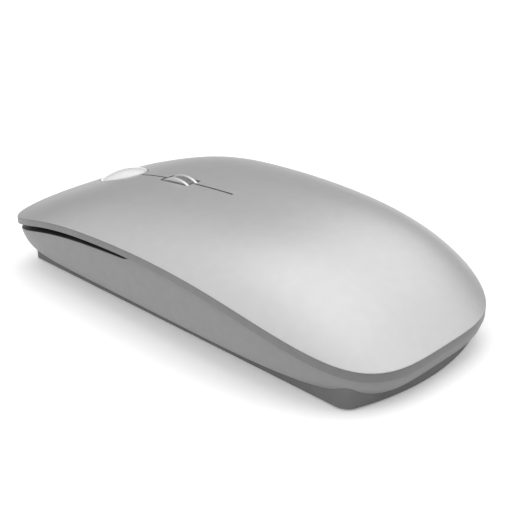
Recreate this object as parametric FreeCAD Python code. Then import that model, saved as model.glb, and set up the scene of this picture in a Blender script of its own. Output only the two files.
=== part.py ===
import FreeCAD, Part
import math
import os

# Cordless computer mouse, nose along +Y, right side along +X, base down.
# The origin is at the middle of the footprint, on the desk under the feet.

V = FreeCAD.Vector

# outer form
length = 106.0
nose_y = length / 2
tail_y = -length / 2
widest_y = 0.6              # the plan is widest a little ahead of the middle
half_width = 30.76
nose_squareness = 9.6       # superellipse exponents of the plan, nose and tail
tail_squareness = 3.6
nose_bow = 0.3              # the front edge falls back this much at its corners

# crown line along the middle: (y, z)
crown_stations = [(-53.0, 8.15), (-42.2, 15.8), (-26.3, 21.9), (-4.7, 23.5),
                  (18.8, 22.15), (39.4, 18.75), (53.0, 14.05)]
# how far the surface has fallen at the side edge: (y, drop)
drop_stations = [(-53.0, 8.3), (0.0, 4.25), (53.0, 2.6)]
drop_width = 30.0
drop_power = 3.31           # middle of the length; rounder to the nose
drop_power_slope = 0.167

cover_wall = 1.5
slit_half = 0.28            # between the two keys
slit_end_radius = 0.5       # round relief at the root of the slit
key_root_y = 5.6            # where the keys bend
key_root_gap = 0.15
key_nose_gap = 1.6          # under the front edge of the keys
key_gap_power = 0.3         # it opens quickly just ahead of the bend

# lower housing and base
base_z = 0.5                # the feet stand this proud
housing_foot_z = 1.6
housing_inset = 0.3
housing_wall = 1.8
foot_squaring = 1.2         # the nose corners are rounder down at the base
side_tuck = 10.05           # how far the flank curves in under
side_tuck_height = 18.0
side_tuck_power = 4.3
nose_tuck = 1.5
nose_tuck_height = 14.0
nose_tuck_power = 2.2
tail_tuck = 4.5
tail_tuck_height = 8.0
tail_tuck_power = 3.3

base_nose_half = 23.55      # the base narrows a little to the rear
base_tail_half = 22.9
base_nose_y = 50.9
base_tail_y = -51.0
base_tail_radius = 60.0
base_top_z = 5.2
base_floor_z = 2.1
base_wall = 1.6
base_rear_corner = 3.4
base_front_corner = 2.0
boss_radius = 2.6           # palm cover screw bosses
front_boss_radius = 2.3
front_boss_top = 9.0
front_boss_arm = 26.9       # the arm reaches the flank here
pilot_radius = 1.0
stand_radius = 2.0          # pillars under the board
front_stand_y = 38.0

# scroll wheel
wheel_y = 22.4
wheel_z = 14.7
wheel_radius = 8.0
wheel_half = 1.75
tyre_half = 0.95
tyre_radius = 7.75
tyre_grooves = 40
hub_radius = 6.2
hub_holes = 5
axle_radius = 1.2
running_gap = 0.04          # between the axle and its bush
axle_left_x = -9.8
axle_right_x = 12.4
bush_x = 8.0
fork_x = (11.3, 12.6)
slot_half = 2.35
slot_radius = wheel_radius + 0.55

# window in the nose
window_y = 43.8
window_long = 6.2
window_wide = 5.7
window_dome = 1.6
window_gap = 0.25
pipe_y = 41.5               # light pipe down to the lamp on the board
pipe_radius = 2.2

# board and what stands on it
board_z = 5.0
board_thick = 1.2
board_top = board_z + board_thick
board_half = 16.2
board_y = (6.2, 43.2)
wheel_room = 2.6            # opening in the board under the wheel
switch_x = 13.1
switch_y = 33.0
switch_size = (5.8, 12.8, 6.5)
switch_top = board_top + switch_size[2]
plunger_top = switch_top + 0.7
tact_size = 6.0
tact_top = board_top + 4.3
tact_plunger_top = tact_top + 1.4
sensor_y = 10.5
sensor_hole = 3.4           # radius of the opening in the base
sensor_rim = 5.2            # shallow recess round the opening
lens_stem_radius = 3.2
encoder_x = -7.3
encoder_size = (5.0, 11.0, 12.4)

# battery bay
cell_radius = 5.2
cell_x = 5.5
cell_y = {-1: (-41.2, 3.3), 1: (-42.4, 2.1)}
cell_nub = 1.0
nub_radius = 1.9
leaf_thick = 0.25
leaf_reach = 3.0            # half the height of a bowed contact
leaf_half = 2.5
contact_half = 3.4
contact_thick = 0.3
contact_z = (4.4, 11.0)
lead_radius = 0.5
lead_bend = 1.6
lead_x = 8.6
lead_z = 9.4
cell_z = 7.65
tray_half = 12.0
tray_y = (-44.0, 4.7)
tray_wall = 0.9
tray_top = 14.1
door_half = 11.4
door_y = (-42.95, 4.75)
door_gap = 0.25
door_top = 2.0
door_lip = 1.3              # finger lip behind the door
door_lip_half = 3.0
thumb_grooves = 4
tab_x = 9.6
tab_y = (4.5, 6.3)
tab_z = (2.25, 2.9)

# receiver and power switch
receiver_x = 16.6
receiver_y = -8.0
receiver_cap = (6.0, 14.4, 6.4)
receiver_plug = (4.5, 12.0, 12.2)
receiver_foot_z = 0.9
power_x = -16.6
power_y = -8.0
power_travel = 2.4

# fasteners and feet
rear_screw = (17.4, -31.0)
front_screw = (19.0, 43.5)
board_screw = (13.6, 14.0)
foot_top = 0.8
screw_hole = 1.25
screw_sink = 2.3            # counterbore for the head
screw_seat_z = 1.4
screw_tip_z = 8.0


def box(x0, x1, y0, y1, z0, z1):
    return Part.makeBox(x1 - x0, y1 - y0, z1 - z0, V(x0, y0, z0))


def block(cx, cy, size, z0):
    w, l, h = size
    return box(cx - w / 2, cx + w / 2, cy - l / 2, cy + l / 2, z0, z0 + h)


def post(x, y, z0, z1, r):
    return Part.makeCylinder(r, z1 - z0, V(x, y, z0), V(0, 0, 1))


def rod_x(x0, x1, y, z, r):
    return Part.makeCylinder(r, x1 - x0, V(x0, y, z), V(1, 0, 0))


def rod_y(y0, y1, x, z, r):
    return Part.makeCylinder(r, y1 - y0, V(x, y0, z), V(0, 1, 0))


def slot_prism(x0, x1, y0, y1, z0, z1):
    """A bar with round ends, longest side first."""
    if x1 - x0 > y1 - y0:
        r = (y1 - y0) / 2
        ends = [post(x0 + r, y0 + r, z0, z1, r), post(x1 - r, y0 + r, z0, z1, r)]
        bar = box(x0 + r, x1 - r, y0, y1, z0, z1)
    else:
        r = (x1 - x0) / 2
        ends = [post(x0 + r, y0 + r, z0, z1, r), post(x0 + r, y1 - r, z0, z1, r)]
        bar = box(x0, x1, y0 + r, y1 - r, z0, z1)
    return bar.fuse(ends).removeSplitter()


def upright_edges(solid):
    return [e for e in solid.Edges if abs(e.tangentAt(e.FirstParameter).z) > 0.9]


def spline(stations):
    """Natural cubic through (y, value) stations, as a function of y."""
    n = len(stations)
    ys = [s[0] for s in stations]
    vs = [s[1] for s in stations]
    h = [ys[i + 1] - ys[i] for i in range(n - 1)]
    bend = [0.0] * n
    for _ in range(200):
        for i in range(1, n - 1):
            jump = 6 * ((vs[i + 1] - vs[i]) / h[i] - (vs[i] - vs[i - 1]) / h[i - 1])
            bend[i] = (jump - h[i - 1] * bend[i - 1] - h[i] * bend[i + 1]) / (2 * (h[i - 1] + h[i]))

    def value(y):
        i = 0
        while i < n - 2 and y > ys[i + 1]:
            i += 1
        a = (ys[i + 1] - y) / h[i]
        b = 1 - a
        curve = ((a ** 3 - a) * bend[i] + (b ** 3 - b) * bend[i + 1]) * h[i] ** 2 / 6
        return a * vs[i] + b * vs[i + 1] + curve

    return value


crown = spline(crown_stations)
drop = spline(drop_stations)


def top_z(x, y):
    power = drop_power - drop_power_slope * y / nose_y
    return crown(y) - drop(y) * abs(x / drop_width) ** power


def under_z(x, y, thickness):
    """Height of the surface that lies a wall's thickness under the top."""
    e = 0.05
    sx = (top_z(x + e, y) - top_z(x - e, y)) / (2 * e)
    sy = (top_z(x, y + e) - top_z(x, y - e)) / (2 * e)
    return top_z(x, y) - thickness * math.sqrt(1 + sx * sx + sy * sy)


def sheet(height):
    """Smooth face over the whole plan, from a height function."""
    xs = [-34 + 68 * i / 20 for i in range(21)]
    ys = [-56 + 112 * j / 24 for j in range(25)]
    grid = [[V(x, y, height(x, y)) for y in ys] for x in xs]
    surface = Part.BSplineSurface()
    surface.interpolate(grid)
    return surface.toShape()


def solid_below(height):
    return sheet(height).extrude(V(0, 0, -60))


def plan_points(a, front, back, front_power, back_power, z):
    """Superellipse plan, square at the nose and rounder at the tail."""
    points = []
    steps = 26
    for quarter in range(4):
        for i in range(steps):
            t = math.pi / 2 * (quarter + i / steps)
            c = math.cos(t)
            s = math.sin(t)
            reach = front if s >= 0 else back
            power = front_power if s >= 0 else back_power
            # steps crowd toward the corners, where the plan bends most
            u = math.copysign(math.sqrt(abs(c)), c)
            v = math.copysign(math.sqrt(abs(s)), s)
            scale = (abs(u) ** power + abs(v) ** power) ** (-1 / power)
            x = a * u * scale
            y = reach * v * scale
            bow = nose_bow * (x / a) ** 2 * min(max((y - 28) / 25, 0), 1)
            points.append(V(x, widest_y + y - bow, z))
    return points


def closed_wire(points):
    curve = Part.BSplineCurve()
    curve.interpolate(Points=points, PeriodicFlag=True)
    return Part.Wire(curve.toShape())


def cover_prism():
    plan = plan_points(half_width, nose_y - widest_y, widest_y - tail_y,
                       nose_squareness, tail_squareness, -5)
    return Part.Face(closed_wire(plan)).extrude(V(0, 0, 35))


def housing_plan(z, inset):
    """Plan of the lower housing at a height: it tucks in toward the base."""
    h = z - base_z
    g = 1 - min(h / side_tuck_height, 1)
    nose = max(1 - h / nose_tuck_height, 0)
    tail = max(1 - h / tail_tuck_height, 0)
    a = half_width - housing_inset - inset - side_tuck * g ** side_tuck_power
    front = nose_y - widest_y - housing_inset - inset - nose_tuck * nose ** nose_tuck_power
    back = widest_y - tail_y - housing_inset - inset - tail_tuck * tail ** tail_tuck_power
    return plan_points(a, front, back, nose_squareness - foot_squaring * g * g,
                       tail_squareness + 0.95 * g * g, z)


def housing_form(inset):
    heights = [1.0, 1.7, 2.5, 3.5, 4.8, 6.5, 8.5, 11.5, 15.0, 18.5, 22.0]
    wires = [closed_wire(housing_plan(z, inset)) for z in heights]
    return Part.makeLoft(wires, True, False)


def base_prism(inset, z0, z1):
    w = base_tail_half - inset
    nose_w = base_nose_half - inset
    front = base_nose_y - inset
    back = base_tail_y + inset
    r = base_tail_radius - inset
    corner_y = back + r - math.sqrt(r * r - w * w)
    edges = [Part.LineSegment(V(-w, corner_y, z0), V(-nose_w, front, z0)).toShape(),
             Part.LineSegment(V(-nose_w, front, z0), V(nose_w, front, z0)).toShape(),
             Part.LineSegment(V(nose_w, front, z0), V(w, corner_y, z0)).toShape(),
             Part.Arc(V(w, corner_y, z0), V(0, back, z0), V(-w, corner_y, z0)).toShape()]
    prism = Part.Face(Part.Wire(edges)).extrude(V(0, 0, z1 - z0))
    rear = [e for e in upright_edges(prism) if e.CenterOfMass.y < 0]
    prism = prism.makeFillet(base_rear_corner - inset, rear)
    fore = [e for e in upright_edges(prism) if e.CenterOfMass.y > front - 1]
    return prism.makeFillet(base_front_corner - inset, fore)


def ellipse_prism(long, wide, z0, z1):
    centre = V(0, window_y, z0)
    rim = Part.Ellipse(V(0, window_y + long, z0), V(wide, window_y, z0), centre)
    return Part.Face(Part.Wire(rim.toShape())).extrude(V(0, 0, z1 - z0))


def top_slab():
    outer = solid_below(top_z)
    inner = solid_below(lambda x, y: under_z(x, y, cover_wall))
    slab = cover_prism().common(outer).cut(inner)
    return slab, outer


def front_part(slab):
    front = slab.common(box(-40, 40, key_root_y + key_root_gap / 2, 60, -5, 40))
    wheel_slot = rod_x(-slot_half, slot_half, wheel_y, wheel_z, slot_radius)
    window = ellipse_prism(window_long + window_gap, window_wide + window_gap, 0, 40)
    slit_end = post(0, key_root_y, 0, 40, slit_end_radius)
    return front.cut([wheel_slot, window, slit_end])


def key(front, outer, side):
    """One key with the rib that presses its switch."""
    half = box(slit_half, 40, 0, 60, -5, 40) if side > 0 else box(-40, -slit_half, 0, 60, -5, 40)
    finger = front.common(half)
    rib = box(side * switch_x - 1.1, side * switch_x + 1.1, switch_y - 0.9, switch_y + 0.9,
              plunger_top + 0.05, 40)
    web = box(side * switch_x - 0.5, side * switch_x + 0.5, switch_y - 5, switch_y + 7,
              plunger_top + 3.2, 40)
    stiffener = rib.fuse(web).common(outer)
    return finger.fuse(stiffener).removeSplitter()


def palm_cover(slab, outer):
    """Rear of the top cover with its two screw bosses."""
    palm = slab.common(box(-40, 40, -60, key_root_y - key_root_gap / 2, -5, 40))
    palm = palm.cut(post(0, key_root_y, 0, 40, slit_end_radius))

    def boss(side):
        x = side * rear_screw[0]
        return post(x, rear_screw[1], base_floor_z, 40, boss_radius).common(outer)

    palm = palm.fuse([boss(1), boss(-1)]).removeSplitter()
    holes = [post(s * rear_screw[0], rear_screw[1], 0, 12, pilot_radius) for s in (1, -1)]
    return palm.cut(holes)


def side_housing():
    """The lower shell: a tucked-in wall from the top cover down to the base."""
    under_cover = solid_below(lambda x, y: under_z(x, y, cover_wall) - 0.02)

    def key_clearance(x, y):
        reach = max((y - key_root_y) / (nose_y - key_root_y), 0)
        gap = key_root_gap + (key_nose_gap - key_root_gap) * reach ** key_gap_power
        return under_z(x, y, cover_wall) - gap

    under_keys = solid_below(key_clearance)
    under_top = under_cover.common(box(-40, 40, -60, key_root_y, -5, 40))
    under_top = under_top.fuse(under_keys.common(box(-40, 40, key_root_y, 60, -5, 40)))
    wall = housing_form(0).cut(housing_form(housing_wall))
    wall = wall.cut(box(-40, 40, -60, 60, -5, housing_foot_z))
    wall = wall.cut(base_prism(0, 0, base_top_z)).common(under_top)

    def front_boss(side):
        x = side * front_screw[0]
        y = front_screw[1]
        reach = side * front_boss_arm
        boss = post(x, y, base_floor_z, front_boss_top, front_boss_radius)
        arm = box(min(x, reach), max(x, reach), y - 0.7, y + 0.7, base_top_z + 0.1, front_boss_top)
        return boss.fuse(arm).cut(post(x, y, 0, front_boss_top - 1, pilot_radius))

    return wall.fuse([front_boss(1), front_boss(-1)])


def base_plate():
    plate = base_prism(0, base_z, base_top_z).cut(base_prism(base_wall, base_floor_z, 10))
    bottom = base_z - 1
    cuts = [box(-door_half - door_gap, door_half + door_gap, door_y[0] - door_gap,
                door_y[1] + door_gap, bottom, base_floor_z + 1)]
    cuts.append(box(-door_lip_half - 0.4, door_lip_half + 0.4, door_y[0] - door_lip - 0.4, door_y[0],
                    bottom, 1.3))
    cuts.append(post(0, sensor_y, bottom, 3, sensor_hole))
    cuts.append(post(0, sensor_y, bottom, 1.1, sensor_rim))
    cap_w, cap_l, _ = receiver_cap
    cuts.append(block(receiver_x, receiver_y, (cap_w + 0.3, cap_l + 0.3, 9), bottom))
    # finger scoop beside the receiver, and the slot round the power knob
    cuts.append(rod_x(receiver_x - 5.5, receiver_x + 4.2, receiver_y, base_z - 1.6, 2.6))
    cuts.append(slot_prism(power_x - 1.8, power_x + 1.8, power_y - 4.4, power_y + 4.4, bottom, 4))
    for x, y in screw_places():
        cuts.append(post(x, y, bottom, 4, screw_hole))
        cuts.append(post(x, y, bottom, screw_seat_z, screw_sink))
    for foot in foot_places():
        cuts.append(foot_shape(foot, bottom, foot_top, 0.1))
    plate = plate.cut(cuts)
    stands = [post(s * board_screw[0], board_screw[1], base_floor_z - 0.1, board_z, stand_radius)
              for s in (1, -1)]
    stands.append(post(0, front_stand_y, base_floor_z - 0.1, board_z, stand_radius))
    plate = plate.fuse(stands).removeSplitter()
    pilot = [post(s * board_screw[0], board_screw[1], 1.4, board_z + 1, 0.8) for s in (1, -1)]
    return plate.cut(pilot)


def screw_places():
    places = []
    for s in (1, -1):
        places.append((s * rear_screw[0], rear_screw[1]))
        places.append((s * front_screw[0], front_screw[1]))
    return places


def foot_places():
    """(middle x, middle y, length, width) of the four glide pads."""
    return [(-10.5, 47.6, 15.0, 4.0), (10.5, 47.6, 15.0, 4.0),
            (-11.0, -46.8, 12.0, 2.9), (11.0, -46.8, 12.0, 2.9)]


def foot_shape(place, z0, z1, extra):
    x, y, l, w = place
    return slot_prism(x - l / 2 - extra, x + l / 2 + extra, y - w / 2 - extra,
                      y + w / 2 + extra, z0, z1)


def window_dome_body():
    """Clear oval cap with a light pipe under it."""
    slope = (crown(window_y + 1) - crown(window_y - 1)) / 2
    dome = Part.makeSphere(1.0)
    stretch = FreeCAD.Matrix()
    stretch.scale(V(window_wide + 0.15, window_long + 0.4, window_dome))
    dome = dome.transformGeometry(stretch)
    dome.rotate(V(0, 0, 0), V(1, 0, 0), math.degrees(math.atan(slope)))
    dome.translate(V(0, window_y, crown(window_y)))
    prism = ellipse_prism(window_long, window_wide, 13.2, 30)
    under = prism.common(solid_below(top_z))
    cap = dome.common(prism).fuse(under)
    pipe = post(0, pipe_y, board_top + 1.1, 14, pipe_radius)
    legs = [box(s * 4.4 - 0.6, s * 4.4 + 0.6, pipe_y - 1, pipe_y + 1, board_top, 14) for s in (1, -1)]
    return cap.fuse([pipe] + legs).removeSplitter()


def circuit_board():
    board = box(-board_half, board_half, board_y[0], board_y[1], board_z, board_top)
    board = board.cut(post(0, sensor_y, 0, 10, 2.6))
    board = board.cut(box(fork_x[0] - 0.2, fork_x[1] + 0.2, wheel_y - 3.6, wheel_y + 3.6, 0, 10))
    board = board.cut(box(-wheel_room, wheel_room, wheel_y - 4.6, wheel_y + 4.6, 0, 10))
    holes = [post(s * board_screw[0], board_screw[1], 0, 10, 1.1) for s in (1, -1)]
    return board.cut(holes)


def wheel_post():
    """Forked post that guides the free end of the axle."""
    wall = box(fork_x[0], fork_x[1], wheel_y - 3.2, wheel_y + 3.2, base_floor_z, 18.6)
    fork = box(0, 20, wheel_y - axle_radius - 0.1, wheel_y + axle_radius + 0.1, wheel_z - 2.0, 30)
    return wall.cut(fork)


def encoder_housing():
    body = block(encoder_x, wheel_y, encoder_size, board_top)
    nose = rod_x(-4.9, -4.4, wheel_y, wheel_z, 2.6)
    bore = rod_x(-12, 0, wheel_y, wheel_z, axle_radius + 0.15)
    return body.fuse(nose).cut(bore)


def switch_body(side):
    w, l, h = switch_size
    body = block(side * switch_x, switch_y, switch_size, board_top)
    hole = block(side * switch_x, switch_y, (1.6, 3.0, 5), switch_top - 2.2)
    slots = [rod_x(side * switch_x - 4, side * switch_x + 4, switch_y + s * 3.4,
                   board_top + 1.8, 0.9) for s in (1, -1)]
    return body.cut([hole] + slots)


def switch_plunger(side):
    return block(side * switch_x, switch_y, (1.4, 2.8, plunger_top - switch_top + 1.1),
                 switch_top - 1.1)


def wheel_switch():
    body = block(bush_x, wheel_y, (tact_size, tact_size, tact_top - board_top), board_top)
    return body.cut(post(bush_x, wheel_y, board_top + 2.4, 30, 1.75))


def wheel_switch_plunger():
    return post(bush_x, wheel_y, board_top + 3.3, tact_plunger_top, 1.65)


def wheel_ring(x0, x1, r0, r1):
    return rod_x(x0, x1, wheel_y, wheel_z, r1).cut(rod_x(x0, x1, wheel_y, wheel_z, r0))


def spread_rods(count, x_half, spacing_radius, rod_radius):
    """Rods along X, evenly round the wheel's axle."""
    rods = []
    for i in range(count):
        t = 2 * math.pi * i / count
        y = wheel_y + spacing_radius * math.cos(t)
        z = wheel_z + spacing_radius * math.sin(t)
        rods.append(rod_x(-x_half, x_half, y, z, rod_radius))
    return rods


def wheel_tyre():
    """Rubber band with fine grooves across it."""
    ring = wheel_ring(-tyre_half, tyre_half, hub_radius, tyre_radius)
    return ring.cut(spread_rods(tyre_grooves, tyre_half, wheel_radius - 0.2, 0.22))


def wheel_rims():
    left = wheel_ring(-wheel_half, -tyre_half, hub_radius, wheel_radius)
    return left.fuse(wheel_ring(tyre_half, wheel_half, hub_radius, wheel_radius))


def wheel_hub():
    hub = wheel_ring(-wheel_half, wheel_half, axle_radius, hub_radius)
    return hub.cut(spread_rods(hub_holes, 3, 3.8, 1.1))


def wheel_axle():
    return rod_x(axle_left_x, axle_right_x, wheel_y, wheel_z, axle_radius)


def axle_bush():
    top = wheel_z + 2.2
    foot = tact_plunger_top + 0.05
    body = box(bush_x - 1.4, bush_x + 1.4, wheel_y - 2.2, wheel_y + 2.2, foot, top)
    return body.cut(rod_x(0, 20, wheel_y, wheel_z, axle_radius + running_gap))


def sensor_lens():
    plate = box(-4.6, 4.6, sensor_y - 4.0, sensor_y + 5.4, base_floor_z, 3.2)
    stem = post(0, sensor_y, 1.3, 3, lens_stem_radius)
    collar = post(0, sensor_y, 3.0, board_top - 0.1, 2.3)
    return plate.fuse([stem, collar]).removeSplitter()


def chip_with_legs(x, y, size, count):
    """A flat chip with a row of legs on two sides."""
    w, l, h = size
    body = block(x, y, (w, l, h - 0.2), board_top + 0.2)
    legs = []
    for i in range(count):
        shift = (i - (count - 1) / 2) * l / count
        for s in (1, -1):
            legs.append(block(x + s * (w / 2 + 0.4), y + shift, (1.0, 0.4, h / 2), board_top))
    return body.fuse(legs).removeSplitter()


def battery_tray(under_palm):
    outer = box(-tray_half, tray_half, tray_y[0], tray_y[1], base_floor_z + 0.05, tray_top)
    room = box(-tray_half + tray_wall, tray_half - tray_wall, tray_y[0] + tray_wall,
               tray_y[1] - tray_wall, 0, tray_top - tray_wall)
    rib = box(-0.25, 0.25, tray_y[0] + 8, tray_y[1] - 8, cell_z + 3.2, tray_top)
    tray = outer.common(under_palm).cut(room).fuse(rib.common(under_palm))
    pockets = box(-tray_half + tray_wall, tray_half - tray_wall, tray_y[1] - 3, tray_y[1] + 1, 0, 4)
    return tray.removeSplitter().cut(pockets)


def cell(side):
    """AAA cell; the left one faces forward and the right one back."""
    back, front = cell_y[side]
    x = side * cell_x
    if side < 0:
        can = rod_y(back, front - cell_nub, x, cell_z, cell_radius)
        tip = rod_y(front - cell_nub, front, x, cell_z, nub_radius)
    else:
        can = rod_y(back + cell_nub, front, x, cell_z, cell_radius)
        tip = rod_y(back, back + cell_nub, x, cell_z, nub_radius)
    return can.fuse(tip)


def contact_spring(side):
    """Bowed leaf that presses on the flat end of a cell."""
    x = side * cell_x
    if side < 0:
        root = tray_y[0] + tray_wall
        tip = cell_y[side][0] - 0.03
    else:
        root = tray_y[1] - tray_wall
        tip = cell_y[side][1] + 0.03
    inward = math.copysign(leaf_thick, tip - root)
    side_x = x - leaf_half
    inner_reach = leaf_reach - 0.35

    def spot(y, up):
        return V(side_x, y, cell_z + up)

    def bow(y_mid, reach):
        return Part.Arc(spot(root, -reach), spot(y_mid, 0), spot(root, reach)).toShape()

    def foot(way):
        return Part.LineSegment(spot(root, way * leaf_reach), spot(root, way * inner_reach)).toShape()

    edges = [bow(tip, leaf_reach), foot(1), bow(tip - inward, inner_reach), foot(-1)]
    leaf = Part.Face(Part.Wire(Part.__sortEdges__(edges))).extrude(V(2 * leaf_half, 0, 0))
    plate = box(x - 3.2, x + 3.2, min(root, root + inward), max(root, root + inward),
                cell_z - 4.4, cell_z + 4.4)
    return leaf.fuse(plate).removeSplitter()


def contact_plates():
    left_y = cell_y[-1][1] + 0.1
    right_y = cell_y[1][0] - 0.4
    return [box(x - contact_half, x + contact_half, y, y + contact_thick, *contact_z)
            for x, y in ((-cell_x, left_y), (cell_x, right_y))]


def lead(x):
    """Short lead from the battery contact down to the board."""
    y0 = tray_y[1]
    y1 = y0 + 2.0
    y2 = y1 + lead_bend
    z1 = lead_z - lead_bend
    half_turn = math.sqrt(0.5)
    middle = V(x, y1 + lead_bend * half_turn, z1 + lead_bend * half_turn)
    path = [Part.LineSegment(V(x, y0, lead_z), V(x, y1, lead_z)).toShape(),
            Part.Arc(V(x, y1, lead_z), middle, V(x, y2, z1)).toShape(),
            Part.LineSegment(V(x, y2, z1), V(x, y2, board_top)).toShape()]
    profile = Part.Wire(Part.makeCircle(lead_radius, V(x, y0, lead_z), V(0, 1, 0)))
    return Part.Wire(path).makePipeShell([profile], True, True)


def battery_door():
    """Door in the base with two hook tabs ahead and a finger lip behind."""
    plate = box(-door_half, door_half, door_y[0], door_y[1], base_z, door_top)
    lip = box(-door_lip_half, door_lip_half, door_y[0] - door_lip, door_y[0], base_z, 1.2)
    thumb = [box(-6, 6, door_y[0] + 3 + i * 1.6, door_y[0] + 3.7 + i * 1.6, 0, base_z + 0.35)
             for i in range(thumb_grooves)]
    door = plate.fuse(lip).cut(thumb)
    for s in (1, -1):
        x = s * tab_x
        riser = box(x - 1.3, x + 1.3, door_y[1] - 1.2, door_y[1], door_top - 0.2, tab_z[1])
        tab = box(x - 1.3, x + 1.3, tab_y[0], tab_y[1], tab_z[0], tab_z[1])
        door = door.fuse([riser, tab])
    return door.removeSplitter()


def receiver_plug_body():
    w, l, h = receiver_plug
    z0 = receiver_foot_z + receiver_cap[2]
    shell = block(receiver_x, receiver_y, receiver_plug, z0)
    mouth = block(receiver_x + 0.5, receiver_y, (w - 1.9, l - 0.8, h), z0 + 1.0)
    windows = [block(receiver_x, receiver_y + s * 2.7, (w + 2, 2.2, 2.2), z0 + 6.4) for s in (1, -1)]
    return shell.cut([mouth] + windows)


def receiver_cap_body():
    cap = block(receiver_x, receiver_y, receiver_cap, receiver_foot_z)
    return cap.makeFillet(1.4, upright_edges(cap))


def receiver_sleeve():
    w, l, _ = receiver_cap
    z0 = base_floor_z
    height = 15.4
    outer = block(receiver_x, receiver_y, (w + 1.9, l + 1.9, height), z0)
    room = block(receiver_x, receiver_y, (w + 0.4, l + 0.4, height + 2), z0 - 1)
    return outer.cut(room)


def power_body():
    body = block(power_x, power_y, (5.6, 12.0, 3.6), base_floor_z + 0.3)
    legs = [block(power_x + 2.2 * s, power_y + t * 3.4, (0.5, 0.6, 2.2), base_floor_z + 3.7)
            for s in (1, -1) for t in (-1, 0, 1)]
    slot = block(power_x, power_y, (2.0, 6.6, 2.0), base_floor_z - 0.4)
    feet = [block(power_x, power_y + s * 5.4, (5.6, 1.2, 0.4), base_floor_z) for s in (1, -1)]
    return body.cut(slot).fuse(legs + feet).removeSplitter()


def power_knob():
    """Ribbed slider, seen through the base; it rests at the off end."""
    y = power_y - power_travel / 2
    stem = block(power_x, y, (1.6, 2.0, 2.2), 1.3)
    knob = block(power_x, y, (3.0, 4.6, 1.3), base_z + 0.2)
    ribs = [block(power_x, y + i * 1.1, (4, 0.35, 0.5), base_z) for i in (-1, 0, 1)]
    return knob.cut(ribs).fuse(stem).removeSplitter()


def cross_recess(x, y, head_radius, z):
    reach = head_radius * 1.2
    return [block(x, y, (reach, 0.4, 2), z), block(x, y, (0.4, reach, 2), z)]


def case_screw(x, y):
    """Driven up through the base, its head in the counterbore."""
    head_radius = 2.1
    head = post(x, y, screw_seat_z - 0.9, screw_seat_z, head_radius)
    shank = post(x, y, screw_seat_z, screw_tip_z, 0.95)
    return head.fuse(shank).cut(cross_recess(x, y, head_radius, screw_seat_z - 2.4))


def board_screw_down(x, y):
    """Driven down through the board into its pillar."""
    head_radius = 1.9
    head = post(x, y, board_top, board_top + 1.1, head_radius)
    shank = post(x, y, 2.4, board_top, 0.75)
    return head.fuse(shank).cut(cross_recess(x, y, head_radius, board_top + 0.6))


def group(shapes):
    return Part.makeCompound(shapes)


def build():
    slab, outer = top_slab()
    front = front_part(slab)
    under_palm = solid_below(lambda x, y: under_z(x, y, cover_wall) - 0.5)
    parts = {
        "base_plate": base_plate(),
        "side_housing": side_housing(),
        "palm_cover": palm_cover(slab, outer),
        "left_key": key(front, outer, -1),
        "right_key": key(front, outer, 1),
        "nose_window": window_dome_body(),
        "status_led": block(0, pipe_y, (1.6, 3.2, 1.0), board_top),
        "circuit_board": circuit_board(),
        "sensor_chip": chip_with_legs(0, sensor_y, (9.0, 7.6, 2.4), 6),
        "sensor_lens": sensor_lens(),
        "sensor_led": block(0, 16.2, (3.0, 1.8, 1.8), board_top),
        "left_switch_body": switch_body(-1),
        "right_switch_body": switch_body(1),
        "left_switch_plunger": switch_plunger(-1),
        "right_switch_plunger": switch_plunger(1),
        "encoder_housing": encoder_housing(),
        "wheel_switch": wheel_switch(),
        "wheel_switch_plunger": wheel_switch_plunger(),
        "wheel_post": wheel_post(),
        "axle_bush": axle_bush(),
        "wheel_hub": wheel_hub(),
        "wheel_tyre": wheel_tyre(),
        "wheel_rims": wheel_rims(),
        "wheel_axle": wheel_axle(),
        "control_chip": chip_with_legs(5.2, 33.5, (4.0, 7.0, 1.6), 6),
        "radio_chip": block(-4.8, 34.0, (4.0, 4.0, 0.9), board_top),
        "crystal": slot_prism(-7.2, -1.8, 29.6, 31.2, board_top, board_top + 1.4),
        "capacitor": post(-13.4, 20.4, board_top, board_top + 6.0, 2.4),
        "battery_tray": battery_tray(under_palm),
        "left_battery": cell(-1),
        "right_battery": cell(1),
        "battery_springs": group([contact_spring(-1), contact_spring(1)]),
        "battery_plates": group(contact_plates()),
        "positive_lead": lead(-lead_x),
        "negative_lead": lead(lead_x),
        "power_switch_body": power_body(),
        "power_knob": power_knob(),
        "battery_door": battery_door(),
        "receiver_sleeve": receiver_sleeve(),
        "receiver_cap": receiver_cap_body(),
        "receiver_plug": receiver_plug_body(),
        "case_screws": group([case_screw(x, y) for x, y in screw_places()]),
        "board_screws": group([board_screw_down(s * board_screw[0], board_screw[1]) for s in (1, -1)]),
    }
    names = ["front_left_foot", "front_right_foot", "rear_left_foot", "rear_right_foot"]
    for name, place in zip(names, foot_places()):
        parts[name] = foot_shape(place, 0, foot_top, 0)
    return parts


def main():
    os.makedirs("parts", exist_ok=True)
    for name, shape in build().items():
        shape.exportStep("parts/" + name + ".step")
        size = shape.BoundBox
        print(name, "solids", len(shape.Solids), "volume", round(shape.Volume, 1),
              "valid", shape.isValid(),
              "z", round(size.ZMin, 2), round(size.ZMax, 2))


main()
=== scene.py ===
import math

import bmesh
import bpy
from mathutils import Matrix, Vector


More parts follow.
